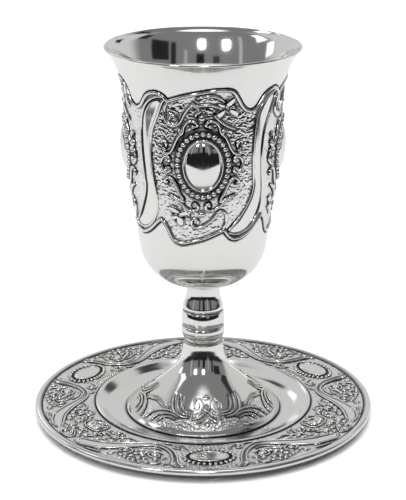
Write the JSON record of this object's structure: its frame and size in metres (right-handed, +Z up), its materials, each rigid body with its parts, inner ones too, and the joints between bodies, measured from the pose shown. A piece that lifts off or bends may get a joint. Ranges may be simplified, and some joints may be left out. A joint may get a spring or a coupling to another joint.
{
  "type": "kiddush cup",
  "caption": "Footed silver cup for ceremonial wine, with a flared mouth and an embossed band, standing in its matching embossed saucer.",
  "frame": {"origin": "on the table, under the middle of the saucer, on the cup's axis", "axes": "+Z up along the cup's axis; -Y is the front, where a medallion and an oval of the saucer face the viewer"},
  "size_m": [0.1368, 0.1368, 0.151],
  "materials": {
    "bowl_silver": "polished silver, embossed band with dark oxidised recesses",
    "stem_silver": "polished silver, dark in its creases",
    "foot_silver": "polished silver trumpet with a stippled skirt",
    "saucer_silver": "polished silver well and rim, embossed border with dark oxidised recesses"
  },
  "bodies": {
    "root": {"bowl": "bowl_silver", "stem": "stem_silver", "foot": "foot_silver", "saucer": "saucer_silver"}
  },
  "joints": []
}
